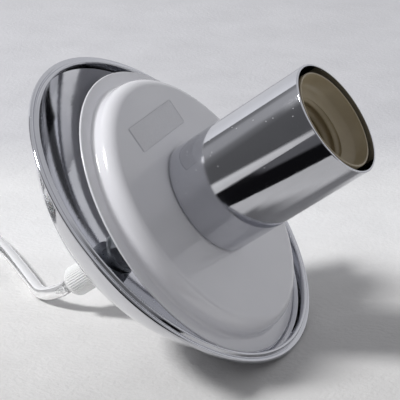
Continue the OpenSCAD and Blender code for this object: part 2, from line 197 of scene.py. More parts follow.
# a normal from a height; distance is what a height of 1 stands for, in metres
def addBump(tree, height, strength, distance, **inputs):
    return addNode(tree, "ShaderNodeBump", {
        "Height": height, "Strength": strength, "Distance": distance, **inputs}).outputs["Normal"]


def addEmission(tree, colour, strength=1.0):
    return addNode(tree, "ShaderNodeEmission", {"Color": colour, "Strength": strength}).outputs["Emission"]


# first (1 - factor) + second factor, for colours or another way of blending them
def mixColours(tree, factor, first, second, **settings):
    return addNode(tree, "ShaderNodeMix", {0: factor, 6: first, 7: second},
                   data_type="RGBA", **settings).outputs[2]


def mixShaders(tree, factor, first, second):
    return addNode(tree, "ShaderNodeMixShader", {0: factor, 1: first, 2: second}).outputs["Shader"]


# x, y and z of a vector, by name
def partsOf(tree, vector):
    return addNode(tree, "ShaderNodeSeparateXYZ", {"Vector": vector}).outputs


# the place on the object, in metres
def objectPlace(tree):
    return addNode(tree, "ShaderNodeTexCoord").outputs["Object"]


# the place on the piece's own map
def mapPlace(tree):
    return addNode(tree, "ShaderNodeUVMap", uv_map="UVMap").outputs["UV"]


def newMaterial(name):
    material = bpy.data.materials.new(name)
    material.use_nodes = True
    material.node_tree.nodes.clear()
    return material, material.node_tree


def finishMaterial(tree, inputs):
    shader = addNode(tree, "ShaderNodeBsdfPrincipled", inputs)
    addNode(tree, "ShaderNodeOutputMaterial", {"Surface": shader.outputs["BSDF"]})


# Bright chrome plate on drawn steel: mirror smooth, with fine draw lines, wiping smears and settled dust.
# Where v of the map is past insideFrom the lines are deeper, as in a spun dish polished on its outside only
def chromePlateOnSteel(name, drawScale, smear, insideFrom):
    material, tree = newMaterial(name)
    here = objectPlace(tree)
    # smears a few centimetres long
    wipe = addNoise(tree, here, scale=45.0, detail=5.0, roughness=0.65)
    smooth = 0.035
    rough = addRange(tree, wipe, (0.35, 0.75), (smooth, smooth + smear))
    # grains of dust 0.3 mm across, where a wider noise is high; a grain is rough and no metal
    cells = addNode(tree, "ShaderNodeTexVoronoi", {"Vector": here, "Scale": 420.0}, feature="F1")
    speck = addMath(tree, "LESS_THAN", cells.outputs["Distance"], 0.07)
    some = addMath(tree, "GREATER_THAN", addNoise(tree, here, scale=90.0, detail=2.0), 0.54)
    dust = allOf(tree, speck, some)
    # the lines follow the piece's own map, 0.2 mm apart on the drawn tube and 0.9 mm on the spun dish
    along = mapPlace(tree)
    stretched = addNode(tree, "ShaderNodeMapping", {"Vector": along, "Scale": drawScale}).outputs["Vector"]
    lines = addNoise(tree, stretched, scale=1.0, detail=3.0)
    inside = addMath(tree, "GREATER_THAN", partsOf(tree, along)["Y"], insideFrom)
    depth = addMath(tree, "MULTIPLY_ADD", inside, 4.0, 1.0)
    finishMaterial(tree, {
        "Base Color": addRamp(tree, wipe, [(0.3, "#d2d3d8"), (0.7, "#c9cacf")]),
        "Metallic": addMath(tree, "SUBTRACT", 1.0, dust),
        "Roughness": addMath(tree, "MULTIPLY_ADD", dust, 0.5, rough),
        "Normal": addBump(tree, addMath(tree, "MULTIPLY", lines, depth), strength=0.02, distance=0.0002)})
    return material


# Stove enamel on pressed steel: thick gloss white with faint orange peel 1.7 mm wide
def stoveEnamel():
    material, tree = newMaterial("stove_enamel_white")
    here = objectPlace(tree)
    peel = addNoise(tree, here, scale=600.0, detail=1.0)
    cloud = addNoise(tree, here, scale=30.0, detail=3.0)
    finishMaterial(tree, {
        "Base Color": addRamp(tree, cloud, [(0.3, "#efeff3"), (0.7, "#eaeaef")]),
        "Roughness": addRange(tree, cloud, (0.3, 0.8), (0.10, 0.2)), "IOR": 1.52,
        "Coat Weight": 0.35, "Coat Roughness": 0.05,
        "Normal": addBump(tree, peel, strength=0.05, distance=0.0002)})
    return material


# Bare label film: satin clear polyester over a pale coating
def labelFilm():
    material, tree = newMaterial("label_film_satin")
    grain = addNoise(tree, objectPlace(tree), scale=1200.0, detail=2.0)
    tint = addRamp(tree, grain, [(0.3, "#dfdfe3"), (0.7, "#e5e5e9")])
    # the cut edge shows as a thin grey line: the larger of |u - 0.5| and |v - 0.5| on the piece's own map
    middle = addNode(tree, "ShaderNodeVectorMath", {0: mapPlace(tree), 1: (0.5, 0.5, 0.0)},
                     operation="SUBTRACT")
    size = addNode(tree, "ShaderNodeVectorMath", {0: middle.outputs["Vector"]}, operation="ABSOLUTE")
    sides = partsOf(tree, size.outputs["Vector"])
    edge = addRange(tree, addMath(tree, "MAXIMUM", sides["X"], sides["Y"]), (0.478, 0.492))
    finishMaterial(tree, {
        "Base Color": mixColours(tree, edge, tint, linear("#bdbdc4")), "Roughness": 0.34, "IOR": 1.5,
        "Normal": addBump(tree, grain, strength=0.08, distance=0.0001)})
    return material


# Moulded phenolic: cream body colour with faint flow clouds and a soft gloss
def creamPhenolic():
    material, tree = newMaterial("phenolic_cream_moulded")
    flow = addNoise(tree, objectPlace(tree), scale=110.0, detail=4.0, distortion=0.6)
    finishMaterial(tree, {
        "Base Color": addRamp(tree, flow, [(0.3, "#ac9e82"), (0.7, "#b5a88b")]),
        "Roughness": addRange(tree, flow, (0.3, 0.7), (0.28, 0.4)), "IOR": 1.55,
        "Normal": addBump(tree, flow, strength=0.08, distance=0.0002)})
    return material


# Fired steatite: dense off-white ceramic with a dry, finely pitted face
def steatite():
    material, tree = newMaterial("steatite_fired")
    pits = addNoise(tree, objectPlace(tree), scale=1500.0, detail=3.0)
    finishMaterial(tree, {
        "Base Color": addRamp(tree, pits, [(0.35, "#cfcbc0"), (0.7, "#dcd8cf")]),
        "Roughness": 0.55, "IOR": 1.6, "Normal": addBump(tree, pits, strength=0.2, distance=0.0001)})
    return material


# Small metal parts: a turned grain 0.25 mm wide under stains 3 mm wide, duller where it is stained
def turnedMetal(name, light, dark, roughLow, roughHigh):
    material, tree = newMaterial(name)
    here = objectPlace(tree)
    grain = addNoise(tree, here, scale=4000.0, detail=3.0)
    stain = addNoise(tree, here, scale=300.0, detail=3.0)
    finishMaterial(tree, {
        "Base Color": addRamp(tree, stain, [(0.3, dark), (0.65, light)]), "Metallic": 1.0,
        "Roughness": addRange(tree, stain, (0.3, 0.7), (roughHigh, roughLow)),
        "Normal": addBump(tree, grain, strength=0.15, distance=0.00005)})
    return material


# Moulded nylon: milky white, satin, slightly translucent
def mouldedNylon(name, light, dark):
    material, tree = newMaterial(name)
    cloud = addNoise(tree, objectPlace(tree), scale=500.0, detail=3.0)
    finishMaterial(tree, {
        "Base Color": addRamp(tree, cloud, [(0.3, dark), (0.7, light)]), "Roughness": 0.42, "IOR": 1.53,
        "Subsurface Weight": 0.15, "Subsurface Scale": 0.002,
        "Normal": addBump(tree, cloud, strength=0.1, distance=0.0001)})
    return material


# Clear plastics: a little haze keeps them from reading as glass
def clearPlastic(name, light, dark, ior, rough, wave, clear):
    material, tree = newMaterial(name)
    flow = addNoise(tree, objectPlace(tree), scale=wave, detail=2.0)
    finishMaterial(tree, {
        "Base Color": addRamp(tree, flow, [(0.3, dark), (0.7, light)]), "Roughness": rough, "IOR": ior,
        "Transmission Weight": clear, "Normal": addBump(tree, flow, strength=0.15, distance=0.0002)})
    return material


# Tinned strands under thin clear insulation: slanting lines by the piece's own map, really 0.3 mm apart and
# drawn three times as coarse to show
def tinnedCore():
    material, tree = newMaterial("tinned_strand_core")
    lay = addNode(tree, "ShaderNodeMapping", {
        "Vector": mapPlace(tree), "Rotation": (0, 0, math.radians(24)), "Scale": (3.0, 2.0, 1.0)})
    wave = addNode(tree, "ShaderNodeTexWave", {
        "Vector": lay.outputs["Vector"], "Scale": 2.2, "Distortion": 0.6, "Detail": 1.0}, bands_direction="X")
    strands = wave.outputs["Fac"]
    finishMaterial(tree, {
        "Base Color": addRamp(tree, strands, [(0.25, "#a9abad"), (0.7, "#f6f6f7")]),
        "Metallic": 0.35, "Roughness": 0.3, "Coat Weight": 0.6, "Coat Roughness": 0.1,
        "Normal": addBump(tree, strands, strength=0.3, distance=0.0001)})
    return material


# the sheet on the table, in metres: its tones are painted light and shade, and they run along y plus the
# slant times x, from -reach to reach
paper = {
    "tones": [(-0.10, "#dad9d8"), (0.04, "#ecebea"), (0.12, "#f5f5f6"), (0.18, "#f2f2f3"), (0.26, "#dadade")],
    "paintedLightSlant": -0.39, "reach": 0.5,
    "pale": "#cbcbce", "paleAbout": (0.08, 0.10, 0.0), "paleFrom": 0.42, "paleTo": 0.70}

# painted reflections, in metres: for glossy rays only the sheet shows, after the streaks seen in the chrome,
# a dark band where the table would end in front of the lamp, a dim floor beyond it, a dark wedge like a
# doorway's foot behind on the right, and right of that a bright glow
floor = {
    "tableEnd": -0.094, "endLeft": -0.10, "cornerSlope": 0.6, "cornerFrom": 0.0214,
    "slant": -1.4, "slantTo": -0.02,
    "tones": [(-1.2, (0.2, 0.2, 0.21, 1)), (-0.72, (0.14, 0.14, 0.148, 1)), (-0.216, (0.12, 0.12, 0.128, 1)),
              (-0.1788, (0.006, 0.006, 0.007, 1)), (0.0, (0.006, 0.006, 0.007, 1))],
    "footSlopes": (0.25, 0.65), "footFrom": 0.165, "footTo": 0.15, "footLeft": 0.147,
    "paintedBrightBetween": (0.25, 0.40), "paintedBrightTone": 0.85}


# Matt paper over a table, with worn patches a few centimetres wide. Its tones are painted light and shade:
# lighter near the object, a shade darker towards the back and the front. For polished metal it shows painted
# reflections
def tablePaper():
    material, tree = newMaterial("table_paper_painted_light")
    here = objectPlace(tree)
    place = partsOf(tree, here)
    x, y = place["X"], place["Y"]
    reach = paper["reach"]
    # painted light and shade: the tone ramp lightens and darkens the sheet by place, standing in for the
    # lamp's fall-off
    slanted = addMath(tree, "MULTIPLY_ADD", x, paper["paintedLightSlant"], y)
    tone = addRamp(tree, addRange(tree, slanted, (-reach, reach)),
                   [(0.5 + at / reach / 2, code) for at, code in paper["tones"]])
    patch = addNoise(tree, here, scale=28.0, detail=6.0, roughness=0.6)
    wear = addRamp(tree, patch, [(0.35, (0.93, 0.93, 0.93, 1)), (0.65, (1, 1, 1, 1))])
    # soft creases a few centimetres long, and over them the paper's tooth, drawn 2 mm wide to show
    crease = addNoise(tree, here, scale=22.0, detail=9.0, roughness=0.7, distortion=0.8)
    fold = addBump(tree, crease, strength=0.35, distance=0.0022)
    tooth = addNoise(tree, here, scale=500.0, detail=2.0)
    sheet = addNode(tree, "ShaderNodeBsdfPrincipled", {
        "Base Color": mixColours(tree, 1.0, tone, wear, blend_type="MULTIPLY"), "Roughness": 0.8,
        "Normal": addBump(tree, tooth, strength=1.0, distance=0.00025, Normal=fold)})
    # the painted dim reflection's tone goes by y + slant x, and by y alone right of slantTo
    left = addMath(tree, "MINIMUM", x, floor["slantTo"])
    beyond = addMath(tree, "MULTIPLY_ADD", left, floor["slant"], y)
    farthest = floor["tones"][0][0]
    paintedDimReflection = addEmission(tree, addRamp(tree, addRange(tree, beyond, (farthest, 0.0)),
                                    [(1 - at / farthest, colour) for at, colour in floor["tones"]]))
    # the painted dark reflection shows where y is under the table's end, x is over endLeft and x -
    # cornerSlope y is over cornerFrom
    corner = addMath(tree, "MULTIPLY_ADD", y, -floor["cornerSlope"], x)
    paintedTableEndMask = allOf(
        tree, addMath(tree, "LESS_THAN", y, floor["tableEnd"]),
        addMath(tree, "GREATER_THAN", x, floor["endLeft"]),
        addMath(tree, "GREATER_THAN", corner, floor["cornerFrom"]))
    # a painted dark wedge, a doorway's foot in the reflection: where y - slope x is over footFrom and y -
    # steeper slope x is under footTo
    slope, steep = [addMath(tree, "MULTIPLY_ADD", x, -rise, y) for rise in floor["footSlopes"]]
    under = addMath(tree, "LESS_THAN", steep, floor["footTo"])
    foot = allOf(
        tree, addMath(tree, "GREATER_THAN", slope, floor["footFrom"]), under,
        addMath(tree, "GREATER_THAN", x, floor["footLeft"]))
    ray = addNode(tree, "ShaderNodeLightPath").outputs
    # painted reflections, for glossy rays only: dark where the table end or the wedge lies, a bright glow on
    # the right
    dark = allOf(tree, addMath(tree, "MAXIMUM", foot, paintedTableEndMask), ray["Is Glossy Ray"])
    paintedBrightMask = allOf(
        tree, addRange(tree, x, floor["paintedBrightBetween"]), addMath(tree, "GREATER_THAN", y, 0.0), under,
        ray["Is Glossy Ray"])
    # the painted bright reflection: the sheet glows here for glossy rays, though it is no lamp
    paintedBrightGlow = addEmission(tree, (1, 1, 1, 1), floor["paintedBrightTone"])
    lit = mixShaders(tree, paintedBrightMask, sheet.outputs["BSDF"], paintedBrightGlow)
    mirrored = mixShaders(tree, dark, lit, paintedDimReflection)
    # far from the lamp the sheet keeps its pale tone for the eye, so that other views have a pale background
    away = addNode(tree, "ShaderNodeVectorMath", {0: here, 1: paper["paleAbout"]}, operation="DISTANCE")
    far = addRange(tree, away.outputs["Value"], (paper["paleFrom"], paper["paleTo"]),
                   interpolation_type="SMOOTHSTEP")
    whole = mixShaders(tree, allOf(tree, far, ray["Is Camera Ray"]), mirrored,
                       addEmission(tree, linear(paper["pale"])))
    addNode(tree, "ShaderNodeOutputMaterial", {"Surface": whole})
    return material


chromeTube = chromePlateOnSteel("chrome_plate_drawn_tube", (900.0, 1.0, 1.0), smear=0.08, insideFrom=9.0)
chromeDish = chromePlateOnSteel("chrome_plate_spun_dish", (1.0, 110.0, 1.0), smear=0.09, insideFrom=0.875)
enamelWhite = stoveEnamel()
filmPale = labelFilm()
phenolicCream = creamPhenolic()
ceramicDry = steatite()
brassTurned = turnedMetal("brass_turned", "#d9b56a", "#b58c45", 0.22, 0.4)
steelZinc = turnedMetal("steel_zinc_plated", "#c9cccf", "#a9adb0", 0.25, 0.42)
nylonWhite = mouldedNylon("nylon_natural_moulded", "#e9e9e4", "#dedfd8")
nylonTie = mouldedNylon("tie_white_polyethylene", "#eeeeec", "#e4e4e0")
polycarbonateClear = clearPlastic(
    "polycarbonate_clear_moulded", "#fefefe", "#fbfcfc", ior=1.5, rough=0.2, wave=260.0, clear=0.12)
vinylClear = clearPlastic(
    "vinyl_clear_extruded", "#fcfcfc", "#f6f7f7", ior=1.42, rough=0.08, wave=160.0, clear=0.84)
coreTinned = tinnedCore()
paperPale = tablePaper()
print("materials made")

# camera, fitted to the photograph: the lens is focalPixels sensor / framePixels, in millimetres
view = {"place": (0.2340, -0.6138, 0.2932), "toward": (-0.3388, 0.8765, -0.3420),
        "focalPixels": 1859.45, "framePixels": 400, "sensor": 36}
cameraData = bpy.data.cameras.new("camera")
cameraData.sensor_width = view["sensor"]
cameraData.lens = view["focalPixels"] * view["sensor"] / view["framePixels"]
camera = bpy.data.objects.new("camera", cameraData)
bpy.context.scene.collection.objects.link(camera)
camera.location = view["place"]
camera.rotation_euler = Vector(view["toward"]).to_track_quat("-Z", "Y").to_euler()
bpy.context.scene.camera = camera
bpy.context.scene.view_settings.view_transform = "Standard"


# a rectangular soft white light at place that faces aim
def areaLamp(name, place, aim, size, power):
    data = bpy.data.lights.new(name, "AREA")
    data.shape = "RECTANGLE"
    data.size, data.size_y = size
    data.energy = power
    lamp = bpy.data.objects.new(name, data)
    lamp.location = place
    lamp.rotation_euler = (Vector(aim) - Vector(place)).to_track_quat("-Z", "Y").to_euler()
    bpy.context.scene.collection.objects.link(lamp)


# one strong lamp, high on the left and a little in front, casts the shadows: bearing and height in degrees,
# metres away, size in metres
mainLight = {"bearing": 203.0, "height": 45.0, "away": 2.4, "size": (0.45, 0.45), "watts": 49.0,
             "aim": (0, 0, 0.03)}
mainHeight, mainBearing = math.radians(mainLight["height"]), math.radians(mainLight["bearing"])
mainPlace = [mainLight["away"] * v for v in (
    math.cos(mainHeight) * math.cos(mainBearing), math.cos(mainHeight) * math.sin(mainBearing),
    math.sin(mainHeight))]
areaLamp("main_light", mainPlace, mainLight["aim"], mainLight["size"], mainLight["watts"])

# the rest is a room: a dim dome with a low pale wall behind for every surface, and for polished metal the
# same room with its darker sides. Each pair is a compass bearing in degrees (180 is left, -90 front) and a
# tone, and each rise is two heights (z of the ray): between them the low tones give way to dome or ceiling
room = {
    "dome": 0.22, "behind": [(-180, 0.2), (20, 0.35), (60, 1.1), (150, 1.1), (172, 0.3), (180, 0.2)],
    "behindRise": (0.30, 0.60),
    "tones": [
        (-180, 0.40), (-168, 0.38), (-160, 0.20), (-148, 0.115), (-118, 0.105), (-60, 0.12), (-35, 0.22),
        (0, 0.42), (8, 1.0), (33, 0.85), (42, 0.65), (112, 0.63), (140, 0.77), (156, 0.91), (159, 0.98),
        (160, 0.20), (168, 0.24), (173, 0.38), (180, 0.40)],
    "ceiling": 0.55, "tonesRise": (0.5, 0.75), "backdrop": "#cbcbce",
    "doorway": {"bearing": 26.0, "lean": 27.0, "half": 7.5, "soft": 2.0, "tone": 0.07}}


# bearing = atan2(y, x) of the ray's way. The mirrored room has a dark doorway behind on the right, where
# |bearing - (its bearing - lean z)| is under its half width
def roomWorld():
    world = bpy.data.worlds.new("room")
    world.use_nodes = True
    tree = world.node_tree
    tree.nodes.clear()
    part = partsOf(tree, addNode(tree, "ShaderNodeTexCoord").outputs["Generated"])
    bearing = addMath(tree, "ARCTAN2", part["Y"], part["X"])
    share = addMath(tree, "MULTIPLY_ADD", bearing, 0.5 / math.pi, 0.5)

    # a slightly cool grey
    def grey(v):
        return v, v * 1.005, v * 1.04, 1

    def byBearing(pairs):
        return addRamp(tree, share, [((angle + 180) / 360, grey(v)) for angle, v in pairs])

    def byHeight(low, high, rise):
        return mixColours(tree, addRange(tree, part["Z"], rise), low, grey(high))

    def background(colour):
        return addNode(tree, "ShaderNodeBackground", {"Color": colour}).outputs["Background"]

    door = room["doorway"]
    at, lean = math.radians(door["bearing"]), math.radians(door["lean"])
    middle = addMath(tree, "MULTIPLY_ADD", part["Z"], -lean, at)
    aside = addMath(tree, "ABSOLUTE", addMath(tree, "SUBTRACT", bearing, middle))
    inside = addRange(tree, aside, (math.radians(door["half"] + door["soft"]), math.radians(door["half"])))
    walls = mixColours(tree, inside, byBearing(room["tones"]), grey(door["tone"]))
    lit = background(byHeight(byBearing(room["behind"]), room["dome"], room["behindRise"]))
    mirrored = background(byHeight(walls, room["ceiling"], room["tonesRise"]))
    seen = background(linear(room["backdrop"]))
    ray = addNode(tree, "ShaderNodeLightPath").outputs
    straight = addMath(tree, "MAXIMUM", ray["Is Camera Ray"], ray["Is Transmission Ray"])
    whole = mixShaders(tree, straight, mixShaders(tree, ray["Is Glossy Ray"], lit, mirrored), seen)
    addNode(tree, "ShaderNodeOutputWorld", {"Surface": whole})
    return world


bpy.context.scene.world = roomWorld()

# the table: a flat sheet, larger than any view
tableHalf = 7.0
tableCorners = tableHalf * np.array([[[1.0, -1, 0], [1, 1, 0]], [[-1, -1, 0], [-1, 1, 0]]])
table = bpy.data.objects.new("table", gridMesh("table", tableCorners))
table.data.materials.append(paperPale)
bpy.context.scene.collection.objects.link(table)
print("camera, lights and table made")

# the flex: route points from the source, in millimetres
flex = {"diameter": 5.4, "coreDiameter": 2.1, "coreApart": 1.12, "twist": 42.0, "exitS": -72.0,
        "coilAt": (-160.0, 38.0), "coilMid": 30.0, "coilPitch": 6.0, "layer": 5.9, "lift": 0.5,
        "from": 60.0, "turns": 4.5, "coilPoints": 109, "step": 1.6}


# radius coilMid + pitch (1 - turns/2 + |turn - turns/2|), angle from + 360 turn; it climbs one layer in the
# middle half turn
def coilPoint(turn):
    turn = np.asarray(turn, float)
    r = flex["coilMid"] + flex["coilPitch"] * (1 - flex["turns"] / 2 + abs(turn - flex["turns"] / 2))
    u = np.clip(2 * turn - flex["turns"] + 0.5, 0, 1)
    z = flex["diameter"] / 2 + flex["lift"] + flex["layer"] * (1 - np.cos(math.pi * u)) / 2
    a = np.radians(flex["from"] + 360 * turn)
    return np.stack([flex["coilAt"][0] + r * np.cos(a), flex["coilAt"][1] + r * np.sin(a), z], -1)


# the way the flex runs in the coil: (-sin(angle), cos(angle))
def coilHeading(turn):
    a = math.radians(flex["from"] + 360 * turn)
    return np.array([-math.sin(a), math.cos(a), 0])


exitPoint = onStem([[0, 0, -74.5], [0, 0, -77.2]]) / mm
coilStart = coilPoint(0) - coilHeading(0) * flex["diameter"]
coilEnd = coilPoint(flex["turns"]) + coilHeading(flex["turns"]) * flex["diameter"]
toCoil = np.array([
    [-65.0, 0.9, 6.4], [-68.8, 2.4, 4.7], [-72.9, 5.0, 3.3], [-76.7, 8.5, 2.8],
    [-80.5, 12.7, 2.7], [-85.5, 18.3, 2.7], [-92.0, 25.4, 2.7], [-99.5, 33.5, 2.8],
    [-107.0, 41.3, 2.9], [-115.0, 49.0, 3.0], [-123.5, 56.4, 3.1], [-129.5, 61.2, 3.2]])
toConnector = np.array([
    [-165.2, -1.1, 9.0], [-161.5, -4.8, 8.2], [-158.5, -9.1, 6.9], [-156.3, -13.8, 5.4],
    [-155.0, -18.9, 4.0], [-154.5, -24.1, 3.1], [-154.5, -27.0, 2.7], [-154.5, -30.0, 2.7]])
flexHalf = flex["diameter"] / 2
flexRoute = np.concatenate([
    onStem([[0, 0, flex["exitS"]]]) / mm, exitPoint, toCoil,
    [coilStart - coilHeading(0) * flexHalf, coilStart],
    coilPoint(np.linspace(0, flex["turns"], flex["coilPoints"])),
    [coilEnd, coilEnd + coilHeading(flex["turns"]) * flexHalf], toConnector])


# centripetal Catmull-Rom through the points, then even steps along it, in the points' unit
def smoothRoute(points, step):
    p = np.asarray(points, float)
    p = np.concatenate([[2 * p[0] - p[1]], p, [2 * p[-1] - p[-2]]])
    knots = runAlong(p, 0.5)
    fine = []
    for i in range(1, len(p) - 2):
        t = np.linspace(knots[i], knots[i + 1], 12, endpoint=False)[:, None]
        t0, t1, t2, t3 = knots[i - 1 : i + 3]
        a1 = (t1 - t) / (t1 - t0) * p[i - 1] + (t - t0) / (t1 - t0) * p[i]
        a2 = (t2 - t) / (t2 - t1) * p[i] + (t - t1) / (t2 - t1) * p[i + 1]
        a3 = (t3 - t) / (t3 - t2) * p[i + 1] + (t - t2) / (t3 - t2) * p[i + 2]
        b1 = (t2 - t) / (t2 - t0) * a1 + (t - t0) / (t2 - t0) * a2
        b2 = (t3 - t) / (t3 - t1) * a2 + (t - t1) / (t3 - t1) * a3
        fine.append((t2 - t) / (t2 - t1) * b1 + (t - t1) / (t2 - t1) * b2)
    fine = np.concatenate(fine + [p[-2:-1]])
    length = runAlong(fine)
    even = np.linspace(0, length[-1], max(2, round(length[-1] / step)))
    return np.stack([np.interp(even, length, fine[:, k]) for k in range(3)], -1)


# way, side and up along a route: up starts at world Z and is carried along without twist
def routeFrames(route):
    way = np.gradient(route, axis=0)
    way /= np.linalg.norm(way, axis=1)[:, None]
    up = np.zeros_like(way)
    last = np.array([0.0, 0.0, 1.0])
    for i, w in enumerate(way):
        last = last - w * last.dot(w)
        last /= np.linalg.norm(last)
        up[i] = last
    return way, np.cross(way, up), up


# rings square to the route: point + radius (side sin(t) + up cos(t)); the map's v is the way along in
# centimetres
def tubeAlong(name, route, radius, sides):
    way, side, up = routeFrames(route)
    t = np.linspace(0, 2 * math.pi, sides, endpoint=False)
    ring = side[:, None] * np.sin(t)[None, :, None] + up[:, None] * np.cos(t)[None, :, None]
    grid = route[:, None] + radius * ring
    along = runAlong(route)
    uv = lambda a, b: np.stack([b / sides, along[a] * 0.1], -1)
    return gridMesh(name, onTable(grid), closeV=True, caps=True, uv=uv)


# the two cores wind round the flex's middle line once in twist millimetres
flexLine = smoothRoute(flexRoute, flex["step"])
way, side, up = routeFrames(flexLine)
along = runAlong(flexLine)
turnAngle = 2 * math.pi * along / flex["twist"]
coreOffset = flex["coreApart"] * (side * np.cos(turnAngle)[:, None] + up * np.sin(turnAngle)[:, None])
flexSheath = addPiece("flex_sheath", tubeAlong("flex_sheath", flexLine, flexHalf, 20), "lamp", vinylClear,
                      ("flex", "flex_coil", "flex_tail"), sharp=0)
flexCores = [
    addPiece(name, tubeAlong(name, flexLine + sign * coreOffset, flex["coreDiameter"] / 2, 10), "lamp",
             coreTinned, sharp=0)
    for name, sign in (("flex_core_live", 1), ("flex_core_neutral", -1))]
print("flex made,", round(along[-1]), "mm")

# dish: the bowl is a ball's cap, its rim a band that slopes back to a rolled bead. The curl and the crest are
# the bead's inner edge and the band's, each by its place from the bead's middle or the lip and its radius
dish = {"sphere": 85.5, "sheet": 0.7, "holeR": 5.4, "bandFrom": 1.2, "lipWidth": 2.9,
        "bead": (69.3, 34.9, 0.9), "curl": (-1.05, 0.75, 0.25), "crest": (0.75, 0.95, 0.7)}


# the cap's arcs run between the angles -acos(r / ball radius) of their ends
def dishProfile():
    outer, inner = dish["sphere"], dish["sphere"] - dish["sheet"]
    beadX, beadZ, beadR = dish["bead"]
    (curlX, curlZ, curlR), (crestX, crestZ, crestR) = dish["curl"], dish["crest"]
    rimIn = beadX - dish["lipWidth"]
    bandX = rimIn + dish["bandFrom"]
    toAngle = lambda r, ball: -math.degrees(math.acos(r / ball))
    return closedProfile(
        arcPoints(0, outer, outer, toAngle(dish["holeR"], outer), toAngle(bandX, outer), 110),
        arcPoints(beadX, beadZ, beadR, -110, 130, 18),
        arcPoints(beadX + curlX, beadZ + curlZ, curlR, -60, -150, 5),
        arcPoints(rimIn + crestX, beadZ + crestZ, crestR, 40, 180, 12),
        arcPoints(0, outer, inner, toAngle(rimIn, inner), toAngle(dish["holeR"], inner), 110))


addPiece("dish_shell", lathe("dish_shell", dishProfile(), onDish, 256), "dish", chromeDish,
         ("dish",))

# plate: a pressed pan with a flat flange round it
plate = {"r": 59.8, "stepR": 53.5, "stepH": 8.3, "sheet": 1.0, "edgeR": 5.0, "footR": 1.5, "holeR": 5.2}


# the edge turns round a point edgeR in and down, the foot round one footR out and up; both faces share them
def plateProfile():
    sheet, edgeR, footR = plate["sheet"], plate["edgeR"], plate["footR"]
    half, flange = sheet / 2, -plate["stepH"]
    edge = plate["stepR"] - edgeR, -edgeR
    foot = plate["stepR"] + footR, flange + footR
    return closedProfile(
        [[plate["holeR"], -sheet]],
        arcPoints(*edge, edgeR - sheet, 90, 0, 12),
        arcPoints(*foot, footR + sheet, 180, 270, 10),
        arcPoints(plate["r"] - half, flange - half, half, -90, 90, 12),
        arcPoints(*foot, footR, 270, 180, 10),
        arcPoints(*edge, edgeR, 0, 90, 14),
        [[plate["holeR"], 0]])


addPiece("stepped_plate", lathe("stepped_plate", plateProfile(), onStem, 256), "lamp", enamelWhite,
         ("plate",))

# lamp tube: a drawn cup with a rounded foot and a trimmed, slightly rounded mouth
tube = {"r": 22.5, "length": 62.0, "wall": 0.8, "floor": 1.0, "footR": 1.2, "innerFoot": (1.36, 0.56),
        "lipR": 0.35, "holeR": 5.2}


# the outside from the hole to the mouth, then the inside back; innerFoot is its rounding's s and radius
def tubeProfile():
    r, foot, lip = tube["r"], tube["footR"], tube["lipR"]
    return closedProfile(
        [[tube["holeR"], 0]],
        arcPoints(r - foot, foot, foot, -90, 0, 10),
        arcPoints(r - lip, tube["length"] - lip, lip, 0, 90, 6),
        [[r - tube["wall"], tube["length"]]],
        arcPoints(r - foot, *tube["innerFoot"], 0, -90, 6),
        [[tube["holeR"], tube["floor"]]])


addPiece("chromed_tube", lathe("chromed_tube", tubeProfile(), onStem, 256), "lamp", chromeTube,
         ("lamp_tube",))

# lampholder skirt: its bore has a rolled thread. The steps are the inside round the cap, as (r, s); the
# throat narrows from the rim to the bore, as (r, s from the rim)
skirt = {"r": 19.5, "rimS": 61.2, "throatR": 18.7, "boreR": 13.3, "boreTop": 53.6, "boreEnd": 41.6,
         "shelf": 1.2, "rimR": 0.4, "throatEdge": 0.25, "threadDepth": 1.0, "pitch": 3.63, "rows": 49,
         "steps": [(16.6, 34.0), (17.2, 34.0), (17.2, 27.0), (18.25, 27.0), (18.25, 22.0), (19.5, 22.0)],
         "throat": [(18.0, -4.6), (17.5, -5.3), (16.6, -6.1), (15.2, -6.9), (14.1, -7.3)]}


# the lathe outline with the thread: in the bore the radius is
# boreR - depth (0.5 + 0.5 cos(2 pi s / pitch - t))^1.3, faded at both ends
def skirtSurface(sides=256):
    rim, top, end = skirt["rimS"], skirt["boreTop"], skirt["boreEnd"]
    rows, lip, edge = skirt["rows"], skirt["rimR"], skirt["throatEdge"]
    bore = np.stack([np.full(rows, skirt["boreR"]), np.linspace(end, top, rows)], -1)
    profile = closedProfile(
        [[skirt["steps"][0][0], end - skirt["shelf"]]], skirt["steps"],
        arcPoints(skirt["r"] - lip, rim - lip, lip, 0, 90, 6),
        arcPoints(skirt["throatR"] + edge, rim - edge, edge, 90, 180, 5),
        [[r, rim + s] for r, s in skirt["throat"]], bore[::-1])
    t = np.linspace(0, 2 * math.pi, sides, endpoint=False)[:, None]
    r = np.tile(profile[:, 0], (sides, 1))
    s = np.tile(profile[:, 1], (sides, 1))
    inBore = np.abs(r - skirt["boreR"]) < 1e-6
    fade = np.clip((s - end) / 1.2, 0, 1) * np.clip((top + 0.3 - s) / 0.9, 0, 1)
    wave = 0.5 + 0.5 * np.cos(2 * math.pi * s / skirt["pitch"] - t)
    r = r - np.where(inBore, skirt["threadDepth"] * fade * wave ** 1.3, 0)
    grid = np.stack([r * np.cos(t), r * np.sin(t), s], -1)
    return gridMesh("holder_skirt_threaded", onStem(grid), closeU=True, closeV=True)


addPiece("lampholder_skirt", skirtSurface(), "lamp", phenolicCream, ("holder_skirt",))
print("dish, plate, tube and lampholder made")

# cord grip: a fluted body screwed on the stem and a fluted nut with a rounded end
grip = {"flutes": 40, "fluteDepth": 0.35, "bevel": 0.35,
        "bodyR": 6.6, "bodyS": (-58.8, -50.8), "neckR": 4.6, "neckS": -64.8,
        "neckIn": 3.7, "stemIn": 5.02, "waistIn": 2.9, "waistS": (-3.0, 1.0),
        "nutR": 6.2, "nutS": (-72.0, -59.2), "nutRound": 3.0, "nutFloor": 2.5, "holeR": 3.0, "wallIn": 4.65}


